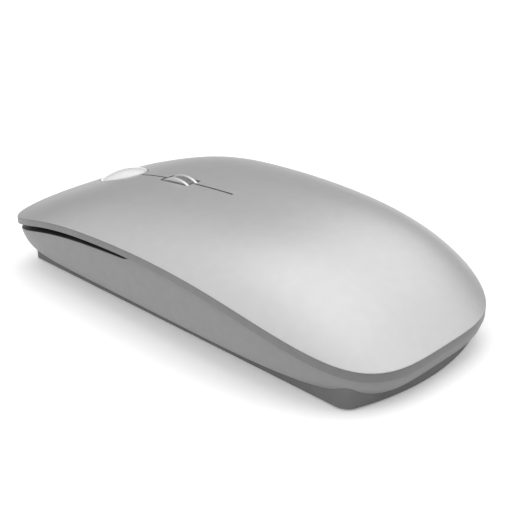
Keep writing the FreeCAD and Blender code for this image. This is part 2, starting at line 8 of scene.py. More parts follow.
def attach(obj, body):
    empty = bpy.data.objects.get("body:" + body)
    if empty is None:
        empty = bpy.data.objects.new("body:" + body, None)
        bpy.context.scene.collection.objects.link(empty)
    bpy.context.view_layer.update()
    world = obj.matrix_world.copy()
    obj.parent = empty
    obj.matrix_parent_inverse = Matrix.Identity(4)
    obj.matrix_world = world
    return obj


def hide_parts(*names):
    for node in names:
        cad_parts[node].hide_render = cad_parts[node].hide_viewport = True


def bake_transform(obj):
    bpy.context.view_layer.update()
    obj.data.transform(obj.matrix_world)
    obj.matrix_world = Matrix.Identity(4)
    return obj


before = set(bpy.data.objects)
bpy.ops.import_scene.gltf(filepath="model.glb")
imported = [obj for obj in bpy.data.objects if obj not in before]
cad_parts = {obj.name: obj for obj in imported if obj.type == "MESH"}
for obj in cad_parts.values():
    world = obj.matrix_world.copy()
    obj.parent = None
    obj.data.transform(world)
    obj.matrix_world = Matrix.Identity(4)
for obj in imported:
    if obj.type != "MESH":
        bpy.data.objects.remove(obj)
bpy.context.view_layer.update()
mm = 0.001

# the mouse's form, in millimetres: nose along +Y, desk at z = 0
form = {
    "noseY": 53.0, "tailY": -53.0, "widestY": 0.6, "halfWidth": 30.76,
    "nosePower": 9.6, "tailPower": 3.6, "noseBow": 0.3,
    "crown": [(-53.0, 8.15), (-42.2, 15.8), (-26.3, 21.9), (-4.7, 23.5),
              (18.8, 22.15), (39.4, 18.75), (53.0, 14.05)],
    "drop": [(-53.0, 8.3), (0.0, 4.25), (53.0, 2.6)],
    "dropWidth": 30.0, "dropPower": 3.31, "dropSlope": 0.167,
    "wall": 1.5,
}


def naturalCurve(stations):
    # smooth curve through (y, value) stations, straight at both ends
    count = len(stations)
    ys = [s[0] for s in stations]
    values = [s[1] for s in stations]
    gaps = [ys[i + 1] - ys[i] for i in range(count - 1)]
    bend = [0.0] * count
    for _ in range(200):
        for i in range(1, count - 1):
            before = (values[i] - values[i - 1]) / gaps[i - 1]
            after = (values[i + 1] - values[i]) / gaps[i]
            rest = gaps[i - 1] * bend[i - 1] + gaps[i] * bend[i + 1]
            bend[i] = (6 * (after - before) - rest) / (2 * (gaps[i - 1] + gaps[i]))

    def valueAt(y):
        i = 0
        while i < count - 2 and y > ys[i + 1]:
            i += 1
        a = (ys[i + 1] - y) / gaps[i]
        b = 1 - a
        curve = (a ** 3 - a) * bend[i] + (b ** 3 - b) * bend[i + 1]
        return a * values[i] + b * values[i + 1] + curve * gaps[i] ** 2 / 6

    return valueAt


crownAt = naturalCurve(form["crown"])
dropAt = naturalCurve(form["drop"])


def topZ(x, y):
    power = form["dropPower"] - form["dropSlope"] * y / form["noseY"]
    return crownAt(y) - dropAt(y) * abs(x / form["dropWidth"]) ** power


def underZ(x, y):
    # inner face of the cover, one wall below the top
    e = 0.05
    slopeX = (topZ(x + e, y) - topZ(x - e, y)) / (2 * e)
    slopeY = (topZ(x, y + e) - topZ(x, y - e)) / (2 * e)
    return topZ(x, y) - form["wall"] * math.sqrt(1 + slopeX ** 2 + slopeY ** 2)


def planPoint(u, v, halfWidth, front, back, nosePower, tailPower):
    # a square's point pulled onto the rounded plan, so its edge is the outline
    power = nosePower if v >= 0 else tailPower
    reach = front if v >= 0 else back
    size = (abs(u) ** power + abs(v) ** power) ** (1 / power)
    if size < 1e-9:
        return 0.0, form["widestY"]
    pull = max(abs(u), abs(v)) / size
    x = halfWidth * u * pull
    y = reach * v * pull
    bow = form["noseBow"] * (x / halfWidth) ** 2 * min(max((y - 28) / 25, 0), 1)
    return x, form["widestY"] + y - bow


def buildMesh(name, points, faces, material, smooth=True, sharpDegrees=None):
    mesh = bpy.data.meshes.new(name)
    mesh.from_pydata([(x * mm, y * mm, z * mm) for x, y, z in points], [], faces)
    mesh.validate()
    work = bmesh.new()
    work.from_mesh(mesh)
    bmesh.ops.recalc_face_normals(work, faces=work.faces)
    if sharpDegrees is not None:
        for edge in work.edges:
            if len(edge.link_faces) == 2 and edge.calc_face_angle(0) > math.radians(sharpDegrees):
                edge.smooth = False
    for face in work.faces:
        face.smooth = smooth
    work.to_mesh(mesh)
    work.free()
    piece = bpy.data.objects.new(name, mesh)
    bpy.context.scene.collection.objects.link(piece)
    if material is not None:
        mesh.materials.append(material)
    return piece


def placePiece(piece, body, slot, *nodes):
    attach(piece, body)
    if nodes:
        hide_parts(*nodes)
    return piece


def joinLoops(faces, first, second, closed=True):
    # quads between two rows of point numbers
    count = len(first)
    last = count if closed else count - 1
    for i in range(last):
        j = (i + 1) % count
        faces.append((first[i], first[j], second[j], second[i]))


def barShape(xSpan, ySpan, zSpan, roof=None):
    # a plain bar; its top can follow the inside of the cover
    points = []
    for z in zSpan:
        for x, y in ((xSpan[0], ySpan[0]), (xSpan[1], ySpan[0]), (xSpan[1], ySpan[1]), (xSpan[0], ySpan[1])):
            followed = roof is not None and z == zSpan[1]
            points.append((x, y, roof(x, y) if followed else z))
    faces = [(0, 1, 2, 3), (4, 5, 6, 7), (0, 1, 5, 4), (1, 2, 6, 5), (2, 3, 7, 6), (3, 0, 4, 7)]
    return points, faces


def roundPost(x0, y0, radius, floor, roof, sides, closedTop=True):
    # an upright round bar; roof gives its top height at each point
    ring = []
    for k in range(sides):
        a = 2 * math.pi * k / sides
        ring.append((x0 + radius * math.cos(a), y0 + radius * math.sin(a)))
    points = [(x, y, floor) for x, y in ring] + [(x, y, roof(x, y)) for x, y in ring]
    faces = []
    joinLoops(faces, range(sides), range(sides, 2 * sides))
    faces.append(tuple(range(sides)))
    if closedTop:
        faces.append(tuple(range(sides, 2 * sides)))
    return points, faces


def addShape(points, faces, shape):
    # appends a finished shape to a mesh under way
    base = len(points)
    points.extend(shape[0])
    faces.extend([tuple(i + base for i in face) for face in shape[1]])


# materials
def nodeSetup(name):
    material = bpy.data.materials.new(name)
    material.use_nodes = True
    nodes = material.node_tree.nodes
    return material, nodes, material.node_tree.links, nodes["Principled BSDF"]


def noiseAt(nodes, links, scale, detail=3.0, stretch=(1, 1, 1)):
    place = nodes.new("ShaderNodeTexCoord")
    mapping = nodes.new("ShaderNodeMapping")
    mapping.inputs["Scale"].default_value = stretch
    noise = nodes.new("ShaderNodeTexNoise")
    noise.inputs["Scale"].default_value = scale
    noise.inputs["Detail"].default_value = detail
    links.new(place.outputs["Object"], mapping.inputs["Vector"])
    links.new(mapping.outputs["Vector"], noise.inputs["Vector"])
    return noise


def finishMaterial(name, look):
    # one plastic, paint or metal: fine colour drift, roughness drift, and a grain in the surface
    material, nodes, links, shader = nodeSetup(name)
    drift = noiseAt(nodes, links, look.get("driftScale", 160), 2.0)
    ramp = nodes.new("ShaderNodeValToRGB")
    low = look["dark"]
    high = look["light"]
    ramp.color_ramp.elements[0].color = (*low, 1)
    ramp.color_ramp.elements[1].color = (*high, 1)
    ramp.color_ramp.elements[0].position = 0.3
    ramp.color_ramp.elements[1].position = 0.7
    links.new(drift.outputs["Fac"], ramp.inputs["Fac"])
    links.new(ramp.outputs["Color"], shader.inputs["Base Color"])
    wear = noiseAt(nodes, links, 420, 2.0)
    spread = nodes.new("ShaderNodeMapRange")
    spread.inputs["To Min"].default_value = look["rough"] - 0.03
    spread.inputs["To Max"].default_value = look["rough"] + 0.03
    links.new(wear.outputs["Fac"], spread.inputs["Value"])
    links.new(spread.outputs["Result"], shader.inputs["Roughness"])
    grain = noiseAt(nodes, links, look.get("grainScale", 3000), 3.0, look.get("stretch", (1, 1, 1)))
    bump = nodes.new("ShaderNodeBump")
    bump.inputs["Strength"].default_value = look.get("grain", 0.05)
    bump.inputs["Distance"].default_value = look.get("grainDepth", 0.00004)
    links.new(grain.outputs["Fac"], bump.inputs["Height"])
    if look.get("softEdge"):
        edge = nodes.new("ShaderNodeBevel")
        edge.samples = 4
        edge.inputs["Radius"].default_value = look["softEdge"]
        links.new(edge.outputs["Normal"], bump.inputs["Normal"])
    links.new(bump.outputs["Normal"], shader.inputs["Normal"])
    shader.inputs["Metallic"].default_value = look.get("metal", 0.0)
    shader.inputs["Coat Weight"].default_value = look.get("coat", 0.0)
    shader.inputs["Coat Roughness"].default_value = look.get("coatRough", 0.1)
    if look.get("milky"):
        shader.inputs["Subsurface Weight"].default_value = look["milky"]
        shader.inputs["Subsurface Radius"].default_value = (0.002, 0.002, 0.002)
        shader.inputs["Subsurface Scale"].default_value = 1.0
    if look.get("clear"):
        shader.inputs["Transmission Weight"].default_value = look["clear"]
    return material


def tone(value):
    return (value, value, value)


finishes = {
    "silverPaint": {"dark": tone(0.69), "light": tone(0.71), "metal": 0.88, "rough": 0.43, "driftScale": 400,
                    "grain": 0.06, "grainScale": 9000, "grainDepth": 0.00002},
    # the cover's rim wall: a dull dark grey in place of the silver, painted shade for the wall that faces
    # sideways and down
    "rimPaintedShade": {"dark": tone(0.155), "light": tone(0.17), "rough": 0.4, "driftScale": 400,
                "grain": 0.06, "grainScale": 9000, "grainDepth": 0.00002},
    "shellGrey": {"dark": tone(0.215), "light": tone(0.23), "rough": 0.48, "driftScale": 500,
                  "grain": 0.12, "grainScale": 5000},
    "baseDark": {"dark": tone(0.115), "light": tone(0.135), "rough": 0.55, "grain": 0.25,
                 "grainScale": 4200, "softEdge": 0.00025},
    "milkyWindow": {"dark": tone(0.74), "light": tone(0.78), "rough": 0.22, "grain": 0.02,
                    "milky": 0.35, "coat": 0.5, "coatRough": 0.12},
    "brightRim": {"dark": tone(0.86), "light": tone(0.92), "metal": 0.8, "rough": 0.3, "grain": 0.03},
    "tyreRubber": {"dark": tone(0.2), "light": tone(0.24), "rough": 0.5, "grain": 0.3, "grainScale": 6000},
    # black moulded plastic for the switches and the cover's underside; on the housing's top ledge and inner
    # wall it is painted shade for the gap under the cover
    "blackMouldedAndGapShade": {"dark": tone(0.018), "light": tone(0.028), "rough": 0.42, "grain": 0.2,
                     "grainScale": 5000, "softEdge": 0.00015},
    "innerPlastic": {"dark": tone(0.055), "light": tone(0.07), "rough": 0.5, "grain": 0.25,
                     "grainScale": 4200, "softEdge": 0.0002},
    "encoderGrey": {"dark": (0.14, 0.16, 0.17), "light": (0.18, 0.2, 0.21), "rough": 0.45, "grain": 0.2,
                    "softEdge": 0.0002},
    "plungerWhite": {"dark": (0.8, 0.79, 0.75), "light": (0.86, 0.85, 0.82), "rough": 0.35, "grain": 0.08,
                     "softEdge": 0.00012},
    "epoxyBlack": {"dark": tone(0.012), "light": tone(0.02), "rough": 0.36, "grain": 0.3, "grainScale": 8000,
                   "softEdge": 0.0001},
    "lensClear": {"dark": tone(0.86), "light": tone(0.92), "rough": 0.12, "clear": 0.8, "grain": 0.01},
    "ledClear": {"dark": (0.86, 0.84, 0.7), "light": (0.92, 0.9, 0.78), "rough": 0.15, "clear": 0.5,
                 "grain": 0.01},
    "contactNickel": {"dark": (0.62, 0.6, 0.55), "light": (0.72, 0.7, 0.66), "metal": 1.0, "rough": 0.28,
                      "grain": 0.12, "stretch": (1, 1, 8)},
    "drawnSteel": {"dark": tone(0.5), "light": tone(0.6), "metal": 1.0, "rough": 0.26, "grain": 0.12,
                   "stretch": (0.1, 3, 3)},
    "screwZinc": {"dark": tone(0.2), "light": tone(0.28), "metal": 1.0, "rough": 0.34, "grain": 0.15,
                  "softEdge": 0.0001},
    "plugSteel": {"dark": tone(0.55), "light": tone(0.64), "metal": 1.0, "rough": 0.25, "grain": 0.15,
                  "stretch": (3, 3, 0.2), "softEdge": 0.0002},
    "canMetal": {"dark": tone(0.6), "light": tone(0.68), "metal": 1.0, "rough": 0.22, "grain": 0.1,
                 "softEdge": 0.0002},
    "sleeveBlue": {"dark": (0.012, 0.018, 0.07), "light": (0.02, 0.03, 0.1), "rough": 0.3, "grain": 0.1,
                   "softEdge": 0.0003},
    "wireRed": {"dark": (0.42, 0.012, 0.01), "light": (0.5, 0.02, 0.015), "rough": 0.4, "grain": 0.1},
    "wireBlack": {"dark": tone(0.012), "light": tone(0.02), "rough": 0.4, "grain": 0.1},
    "glidePad": {"dark": tone(0.035), "light": tone(0.05), "rough": 0.28, "grain": 0.1, "grainScale": 2500},
}
materials = {name: finishMaterial(name, look) for name, look in finishes.items()}
print("materials", len(materials))


def boardMaterial():
    # green solder mask with thin copper tracks under it
    material, nodes, links, shader = nodeSetup("boardGreen")
    place = nodes.new("ShaderNodeTexCoord")
    tracks = nodes.new("ShaderNodeTexBrick")
    tracks.inputs["Scale"].default_value = 260
    tracks.inputs["Mortar Size"].default_value = 0.035
    tracks.inputs["Color1"].default_value = (0.012, 0.10, 0.045, 1)
    tracks.inputs["Color2"].default_value = (0.010, 0.085, 0.04, 1)
    tracks.inputs["Mortar"].default_value = (0.03, 0.19, 0.08, 1)
    links.new(place.outputs["Object"], tracks.inputs["Vector"])
    links.new(tracks.outputs["Color"], shader.inputs["Base Color"])
    bump = nodes.new("ShaderNodeBump")
    bump.inputs["Strength"].default_value = 0.2
    bump.inputs["Distance"].default_value = 0.00003
    links.new(tracks.outputs["Fac"], bump.inputs["Height"])
    links.new(bump.outputs["Normal"], shader.inputs["Normal"])
    shader.inputs["Roughness"].default_value = 0.3
    return material


def cellMaterial():
    # steel jacket with a plain dark sleeve and one pale band by the raised end
    material, nodes, links, shader = nodeSetup("cellJacket")
    place = nodes.new("ShaderNodeTexCoord")
    split = nodes.new("ShaderNodeSeparateXYZ")
    ramp = nodes.new("ShaderNodeValToRGB")
    ramp.color_ramp.interpolation = "CONSTANT"
    ramp.color_ramp.elements[0].color = (0.02, 0.03, 0.05, 1)
    ramp.color_ramp.elements[1].color = (0.55, 0.36, 0.12, 1)
    ramp.color_ramp.elements[1].position = 0.72
    reach = nodes.new("ShaderNodeMapRange")
    reach.inputs["From Min"].default_value = -0.0215
    reach.inputs["From Max"].default_value = 0.0215
    links.new(place.outputs["Object"], split.inputs["Vector"])
    links.new(split.outputs["Y"], reach.inputs["Value"])
    links.new(reach.outputs["Result"], ramp.inputs["Fac"])
    links.new(ramp.outputs["Color"], shader.inputs["Base Color"])
    drift = noiseAt(nodes, links, 900)
    spread = nodes.new("ShaderNodeMapRange")
    spread.inputs["To Min"].default_value = 0.24
    spread.inputs["To Max"].default_value = 0.34
    links.new(drift.outputs["Fac"], spread.inputs["Value"])
    links.new(spread.outputs["Result"], shader.inputs["Roughness"])
    shader.inputs["Metallic"].default_value = 0.4
    return material


materials["boardGreen"] = boardMaterial()
materials["cellJacket"] = cellMaterial()

# top cover
cover = {
    "rootY": 5.6,          # the keys bend here
    "slit": 0.28,          # half the slit between the keys
    "reliefRadius": 0.5,   # round end of the slit
    "wheelY": 22.4, "wheelZ": 14.7, "slotRadius": 8.55, "slotHalf": 2.35, "slotCorner": 0.6,
    "windowY": 43.8, "windowLong": 6.45, "windowWide": 5.95,
    "edge": 0.14,          # rounding of the outer edge
    # rows of the key mesh: an even step, then a finer one from noseRowsY to the front edge
    "step": 1.5, "noseRowsY": 46, "noseStep": 0.7, "lastRow": 52.97,
}


def slotEnds():
    # where the round-bottomed wheel slot meets the top surface, behind and ahead
    ends = []
    for side in (-1, 1):
        y = cover["wheelY"] + side * 5
        for _ in range(20):
            rise = topZ(0, y) - cover["wheelZ"]
            y = cover["wheelY"] + side * math.sqrt(cover["slotRadius"] ** 2 - rise ** 2)
        ends.append(y)
    return ends


slotBack, slotFront = slotEnds()


def innerEdge(y):
    # half the opening between the two keys at a length along the mouse
    slit = cover["slit"]
    fromRoot = y - cover["rootY"]
    if fromRoot < cover["reliefRadius"]:
        slit = max(slit, math.sqrt(max(cover["reliefRadius"] ** 2 - fromRoot ** 2, 0)))
    if slotBack < y < slotFront:
        r = cover["slotCorner"]
        near = min(y - slotBack, slotFront - y)
        if near >= r:
            return cover["slotHalf"]
        return cover["slotHalf"] - r + math.sqrt(r * r - (r - near) ** 2)
    along = (y - cover["windowY"]) / cover["windowLong"]
    if abs(along) < 1:
        slit = max(slit, cover["windowWide"] * math.sqrt(1 - along * along))
    return slit


def keyRows():
    # lengths at which the key mesh has a row, closer where the opening changes
    rows = set()
    y = cover["rootY"]
    while y < cover["noseRowsY"]:
        rows.add(round(y, 3))
        y += cover["step"]
    while y < cover["lastRow"] - 0.07:
        rows.add(round(y, 3))
        y += cover["noseStep"]
    for spot in (slotBack, slotFront):
        for step in (-0.9, -0.4, -0.12, 0, 0.02, 0.08, 0.2, 0.4, 0.6, 1.0):
            rows.add(round(spot + (step if spot == slotBack else -step), 3))
    for way in (1, -1):
        spot = cover["windowY"] - way * cover["windowLong"]
        for step in (-0.6, -0.2, 0.01, 0.06, 0.16, 0.32, 0.55, 0.9, 1.3):
            rows.add(round(spot + way * step, 3))
    for step in (0.15, 0.3, 0.42, 0.6):
        rows.add(round(cover["rootY"] + step, 3))
    rows.add(cover["lastRow"])
    ordered = sorted(rows)
    kept = [ordered[0]]
    for y in ordered[1:]:
        if y - kept[-1] > 0.015:
            kept.append(y)
    return kept


columnSteps = [0, 0.012, 0.035, 0.07, 0.12, 0.18, 0.24, 0.30, 0.36, 0.42, 0.48, 0.54, 0.60, 0.66, 0.72,
               0.77, 0.82, 0.86, 0.895, 0.925, 0.95, 0.97, 0.985, 1.0]


def outwardNormals(points, closed):
    # plan directions pointing out of a run of edge points; corners lean between their two sides
    count = len(points)
    normals = []
    for i in range(count):
        before = points[i - 1] if (closed or i > 0) else None
        after = points[(i + 1) % count] if (closed or i < count - 1) else None
        sides = []
        for a, b in ((before, points[i]), (points[i], after)):
            if a is None or b is None:
                continue
            d = Vector((b[0] - a[0], b[1] - a[1]))
            if d.length > 1e-6:
                d.normalize()
                sides.append(Vector((d.y, -d.x)))
        if len(sides) == 2:
            lean = sides[0] + sides[1]
            normals.append(lean / max(1 + sides[0].dot(sides[1]), 0.5))
        else:
            normals.append(sides[0])
    return normals


def eased(start, corner, end, t):
    # a point on the curve that rounds a corner
    return start * (1 - t) ** 2 + corner * 2 * t * (1 - t) + end * t * t


def edgeRings(points, spots):
    # the rounded outer edge and the rim wall below it, as rows of point numbers
    edge = cover["edge"]
    normals = outwardNormals(spots, False)
    rings = []
    for k in (1, 2, 3, 4):
        ring = []
        for (x, y), n in zip(spots, normals):
            outX = x + edge * n.x
            outY = y + edge * n.y
            start = Vector((x, y, topZ(x, y)))
            corner = Vector((outX, outY, topZ(outX, outY)))
            ring.append(len(points))
            points.append(tuple(eased(start, corner, corner - Vector((0, 0, edge)), k / 4)))
        rings.append(ring)
    for k in (0, 1, 2):
        ring = []
        for (x, y), n in zip(spots, normals):
            outX = x + edge * n.x
            outY = y + edge * n.y
            floor = underZ(outX, outY)
            start = Vector((outX, outY, floor + edge * 0.6))
            end = Vector((x, y, underZ(x, y)))
            ring.append(len(points))
            points.append(tuple(eased(start, Vector((outX, outY, floor)), end, k / 3)))
        rings.append(ring)
    return rings


def sheetFromGrid(name, grid, border, shapes):
    # A cover piece from a plan grid: top face, rounded edge, rim wall and inner face.
    # border lists (row, column) round the free edge; the first row meets the next piece.
    points = []
    faces = []
    rows = len(grid)
    cols = len(grid[0])
    top = {}
    low = {}
    for numbers, height in ((top, topZ), (low, underZ)):
        for r in range(rows):
            for c in range(cols):
                x, y = grid[r][c]
                numbers[r, c] = len(points)
                points.append((x, y, height(x, y)))
    for r in range(rows - 1):
        for c in range(cols - 1):
            faces.append((low[r, c], low[r + 1, c], low[r + 1, c + 1], low[r, c + 1]))
    innerFaces = len(faces)
    for r in range(rows - 1):
        for c in range(cols - 1):
            faces.append((top[r, c], top[r, c + 1], top[r + 1, c + 1], top[r + 1, c]))
    rings = [[top[rc] for rc in border]]
    rings += edgeRings(points, [grid[r][c] for r, c in border])
    rings.append([low[rc] for rc in border])
    joinLoops(faces, rings[0], rings[1], closed=False)
    joinLoops(faces, rings[1], rings[2], closed=False)
    paintedFaces = len(faces)
    for first, second in zip(rings[2:], rings[3:]):
        joinLoops(faces, first, second, closed=False)
    rimFaces = len(faces)
    # the wall where this piece meets the next one
    joinLoops(faces, [top[0, c] for c in range(cols)], [low[0, c] for c in range(cols)], closed=False)
    faces.append(tuple(ring[0] for ring in rings))
    faces.append(tuple(ring[-1] for ring in rings))
    for shape in shapes:
        addShape(points, faces, shape)
    piece = buildMesh(name, points, faces, materials["silverPaint"], sharpDegrees=50)
    piece.data.materials.append(materials["rimPaintedShade"])
    piece.data.materials.append(materials["blackMouldedAndGapShade"])
    for face in piece.data.polygons[:innerFaces]:
        face.material_index = 2
    # the rim and the walls round the openings take the dark grey: painted shade for walls that face away from
    # the light
    for face in piece.data.polygons[paintedFaces:rimFaces]:
        face.material_index = 1
    return piece


def insideCover(x, y):
    # a little way into the cover's wall, so that what stands there is joined to it
    return underZ(x, y) + 0.3


def freeEdge(rows, cols):
    # (row, column) down the first column, along the last row and back up the last column
    border = [(r, 0) for r in range(rows)]
    border += [(rows - 1, c) for c in range(1, cols)]
    border += [(r, cols - 1) for r in range(rows - 2, -1, -1)]
    return border


def keyGrid(side):
    width = form["halfWidth"] - cover["edge"]
    reach = form["noseY"] - form["widestY"] - cover["edge"]
    grid = []
    for y in keyRows():
        v = min((y - form["widestY"]) / (form["noseY"] - form["widestY"]), 0.9995)
        inner = innerEdge(y) + cover["edge"]
        outer, _ = planPoint(1.0, v, width, reach, reach, form["nosePower"], form["tailPower"])
        row = []
        for u in columnSteps:
            x, planY = planPoint(u, v, width, reach, reach, form["nosePower"], form["tailPower"])
            row.append((side * (inner + x * (1 - inner / outer)), planY))
        grid.append(row)
    return grid


# the rib on each key that presses its switch, with the web that stiffens it
rib = {
    "x": 13.1, "half": 1.1, "ySpan": (32.1, 33.9), "tip": 13.45,
    "webHalf": 0.5, "webSpan": (28.0, 40.0), "webFloor": 16.6, "roof": 19,
}


def buildKey(side, name, node):
    grid = keyGrid(side)
    border = freeEdge(len(grid), len(grid[0]))
    if side > 0:
        border.reverse()
    x = side * rib["x"]
    ribX = (x - rib["half"], x + rib["half"])
    webX = (x - rib["webHalf"], x + rib["webHalf"])
    shapes = [barShape(ribX, rib["ySpan"], (rib["tip"], rib["roof"]), insideCover),
              barShape(webX, rib["webSpan"], (rib["webFloor"], rib["roof"]), insideCover)]
    piece = sheetFromGrid(name, grid, border, shapes)
    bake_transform(piece)
    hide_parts(node)
    return piece


palmBoss = {"x": 17.4, "y": -31, "radius": 2.6, "foot": 2.1, "sides": 24}


def buildPalm():
    width = form["halfWidth"] - cover["edge"]
    front = form["noseY"] - form["widestY"] - cover["edge"]
    back = form["widestY"] - form["tailY"] - cover["edge"]
    rootV = (cover["rootY"] - form["widestY"]) / (form["noseY"] - form["widestY"])
    cols = [-u for u in reversed(columnSteps[1:])] + columnSteps
    vs = [rootV, rootV * 0.7, rootV * 0.4, rootV * 0.15]
    steps = 34
    for i in range(steps + 1):
        vs.append(-(math.sin(i / steps * math.pi / 2) ** 1.15))
    grid = []
    for i, v in enumerate(vs):
        row = []
        for u in cols:
            x, y = planPoint(u, v, width, front, back, form["nosePower"], form["tailPower"])
            row.append((x, cover["rootY"] if i == 0 else y))
        grid.append(row)
    bosses = [roundPost(side * palmBoss["x"], palmBoss["y"], palmBoss["radius"], palmBoss["foot"],
                        insideCover, palmBoss["sides"]) for side in (-1, 1)]
    piece = sheetFromGrid("palmCover", grid, freeEdge(len(grid), len(cols)), bosses)
    return placePiece(piece, "case", "silver_shell", "palm_cover")


buildPalm()
buildKey(-1, "leftKey", "left_key")
buildKey(1, "rightKey", "right_key")
print("top cover and keys")

# lower housing
housing = {
    "inset": 0.3, "wall": 1.8, "footZ": 1.7, "baseZ": 0.5,
    "sideTuck": 10.05, "sideHeight": 18.0, "sidePower": 4.3,
    "noseTuck": 1.5, "noseHeight": 14.0, "nosePower": 2.2,
    "tailTuck": 4.5, "tailHeight": 8.0, "tailPower": 3.3,
    "rootGap": 0.15, "noseGap": 1.6, "gapPower": 0.3, "footSquaring": 1.2, "lip": 0.22,
    "innerFoot": 5.4,      # the inner face stops here, just over the base's rim
}
frontBoss = {"x": 19, "y": 43.5, "radius": 2.3, "foot": 2.1, "top": 9.0, "sides": 20,
             "armFrom": 20, "armTo": 26.9, "armHalf": 0.7, "armFoot": 5.3}


def housingPoint(u, v, z, inset):
    h = z - housing["baseZ"]
    g = 1 - min(h / housing["sideHeight"], 1)
    nose = max(1 - h / housing["noseHeight"], 0) ** housing["nosePower"]
    tail = max(1 - h / housing["tailHeight"], 0) ** housing["tailPower"]
    shrink = housing["inset"] + inset
    a = form["halfWidth"] - shrink - housing["sideTuck"] * g ** housing["sidePower"]
    front = form["noseY"] - form["widestY"] - shrink - housing["noseTuck"] * nose
    back = form["widestY"] - form["tailY"] - shrink - housing["tailTuck"] * tail
    nosePower = form["nosePower"] - housing["footSquaring"] * g * g
    return planPoint(u, v, a, front, back, nosePower, form["tailPower"] + 0.95 * g * g)


def housingTop(x, y):
    if y < cover["rootY"]:
        return underZ(x, y) - 0.02
    reach = (y - cover["rootY"]) / (form["noseY"] - cover["rootY"])
    gap = housing["rootGap"] + (housing["noseGap"] - housing["rootGap"]) * reach ** housing["gapPower"]
    return underZ(x, y) - gap


def squareLoop():
    # directions round the plan, crowding toward the corners
    run = [-1 + 2 * i / 56 for i in range(57)]
    run = [math.copysign(1 - (1 - abs(t)) ** 1.35, t) for t in run]
    loop = [(1.0, v) for v in run]
    loop += [(-u, 1.0) for u in run[1:]]
    loop += [(-1.0, -v) for v in run[1:]]
    loop += [(u, -1.0) for u in run[1:-1]]
    return loop


def buildHousing():
    loop = squareLoop()
    points = []
    faces = []
    rings = []
    tops = []
    for u, v in loop:
        x, y = housingPoint(u, v, 18.4, 0)
        z = housingTop(x, y)
        for _ in range(4):
            x, y = housingPoint(u, v, z, 0)
            z = housingTop(x, y)
        tops.append(z)
    lip = housing["lip"]
    fractions = [0, 0.04, 0.08, 0.13, 0.18, 0.24, 0.31, 0.39, 0.48, 0.58, 0.69, 0.8, 0.9, 1.0]
    for f in fractions:
        ring = []
        for (u, v), zTop in zip(loop, tops):
            z = housing["footZ"] + (zTop - lip - housing["footZ"]) * f
            x, y = housingPoint(u, v, z, 0)
            ring.append(len(points))
            points.append((x, y, z))
        rings.append(ring)
    for k in (1, 2, 3):
        a = math.pi / 2 * k / 3
        ring = []
        for (u, v), zTop in zip(loop, tops):
            x, y = housingPoint(u, v, zTop, lip * (1 - math.cos(a)))
            ring.append(len(points))
            points.append((x, y, housingTop(x, y) - lip + lip * math.sin(a)))
        rings.append(ring)
    for inset, fall in ((housing["wall"], 0), (housing["wall"], 0.5), (housing["wall"], 1)):
        ring = []
        for (u, v), zTop in zip(loop, tops):
            z = zTop + (max(min(housing["innerFoot"], zTop - 0.6), 3.0) - zTop) * fall
            x, y = housingPoint(u, v, z, inset)
            if fall == 0:
                z = housingTop(x, y)
            ring.append(len(points))
            points.append((x, y, z))
        rings.append(ring)
    outside = len(fractions) + 1
    for first, second in zip(rings[:outside], rings[1:outside]):
        joinLoops(faces, first, second)
    outerFaces = len(faces)
    for first, second in zip(rings[outside - 1:], rings[outside:]):
        joinLoops(faces, first, second)
    joinLoops(faces, rings[-1], rings[0])
    for side in (-1, 1):
        boss = roundPost(side * frontBoss["x"], frontBoss["y"], frontBoss["radius"], frontBoss["foot"],
                         lambda x, y: frontBoss["top"], frontBoss["sides"])
        addShape(points, faces, boss)
        armX = sorted((side * frontBoss["armFrom"], side * frontBoss["armTo"]))
        armY = (frontBoss["y"] - frontBoss["armHalf"], frontBoss["y"] + frontBoss["armHalf"])
        addShape(points, faces, barShape(armX, armY, (frontBoss["armFoot"], frontBoss["top"])))
    piece = buildMesh("lowerHousing", points, faces, materials["shellGrey"], sharpDegrees=50)
    piece.data.materials.append(materials["blackMouldedAndGapShade"])
    # the wall's top ledge, its inner face and the bosses take the black: painted shade that keeps the gap
    # under the cover dark
    for face in piece.data.polygons[outerFaces:]:
        face.material_index = 1
    return placePiece(piece, "case", "grey_housing", "side_housing")


buildHousing()
print("lower housing")


# scroll wheel
wheel = {
    "y": 22.4, "z": 14.7, "radius": 8.0, "half": 1.75, "tyreHalf": 0.95, "hub": 6.2,
    "teeth": 46, "toothDepth": 0.26,
}


def latheX(name, profile, segments, material, centre, bite=None):
    # turns a closed (x, radius) profile about the wheel's axle; bite cuts teeth into marked points
    points = []
    faces = []
    rings = []
    for s in range(segments):
        a = 2 * math.pi * s / segments
        ring = []
        for i, (x, r) in enumerate(profile):
            radius = r
            if bite and i in bite["points"]:
                radius -= bite["depth"] * bite["shape"](a)
            ring.append(len(points))
            points.append((centre[0] + x, centre[1] + radius * math.cos(a), centre[2] + radius * math.sin(a)))
        rings.append(ring)
    for s in range(segments):
        joinLoops(faces, rings[s], rings[(s + 1) % segments])
    return buildMesh(name, points, faces, material, sharpDegrees=45)


def roundedRect(x0, x1, r0, r1, corner, steps=4):
    # closed profile with its two outer corners rounded
    outline = [(x0, r0), (x0, r1 - corner)]
    for k in range(1, steps):
        a = math.pi / 2 * k / steps
        outline.append((x0 + corner * (1 - math.cos(a)), r1 - corner + corner * math.sin(a)))
    outline.append((x0 + corner, r1))
    outline.append((x1 - corner, r1))
    for k in range(1, steps):
        a = math.pi / 2 * k / steps
        outline.append((x1 - corner + corner * math.sin(a), r1 - corner + corner * math.cos(a)))
    outline.append((x1, r1 - corner))
    outline.append((x1, r0))
    return outline


